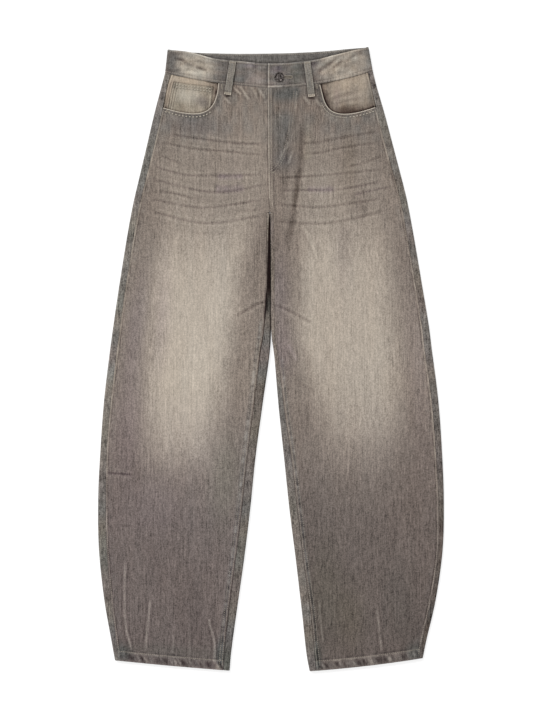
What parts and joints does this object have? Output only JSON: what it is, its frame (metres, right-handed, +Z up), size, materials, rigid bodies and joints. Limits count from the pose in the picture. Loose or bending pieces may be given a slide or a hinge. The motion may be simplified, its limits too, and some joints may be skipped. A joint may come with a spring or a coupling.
{
  "type": "wide-leg trousers",
  "caption": "High-waisted wide-leg denim trousers laid flat on their back, with curved barrel legs, scooped front pockets, belt loops and a buttoned fly.",
  "frame": {"origin": "middle of the flat outline, on the surface that the trousers lie on", "axes": "+Y towards the waist, +X to the right as seen from above with the waist at the top, +Z up, out of the front"},
  "size_m": [0.6054, 1.0915, 0.0121],
  "materials": {
    "denim_front": "washed denim, matt",
    "denim_back": "washed denim, matt",
    "denim_trim": "washed denim, matt",
    "button_metal": "antique, worn"
  },
  "bodies": {
    "root": {"front_left": "denim_front", "front_right": "denim_front", "back_left": "denim_back", "back_right": "denim_back", "yoke_left": "denim_back", "yoke_right": "denim_back", "facing_left": "denim_front", "facing_right": "denim_front", "coin_pocket": "denim_front", "fly_shield": "denim_back", "waistband": "denim_trim", "loop_front_left": "denim_trim", "loop_front_right": "denim_trim", "loop_back_left": "denim_trim", "loop_back_centre": "denim_trim", "loop_back_right": "denim_trim", "back_pocket_left": "denim_back", "back_pocket_right": "denim_back", "button": "button_metal"}
  },
  "joints": []
}
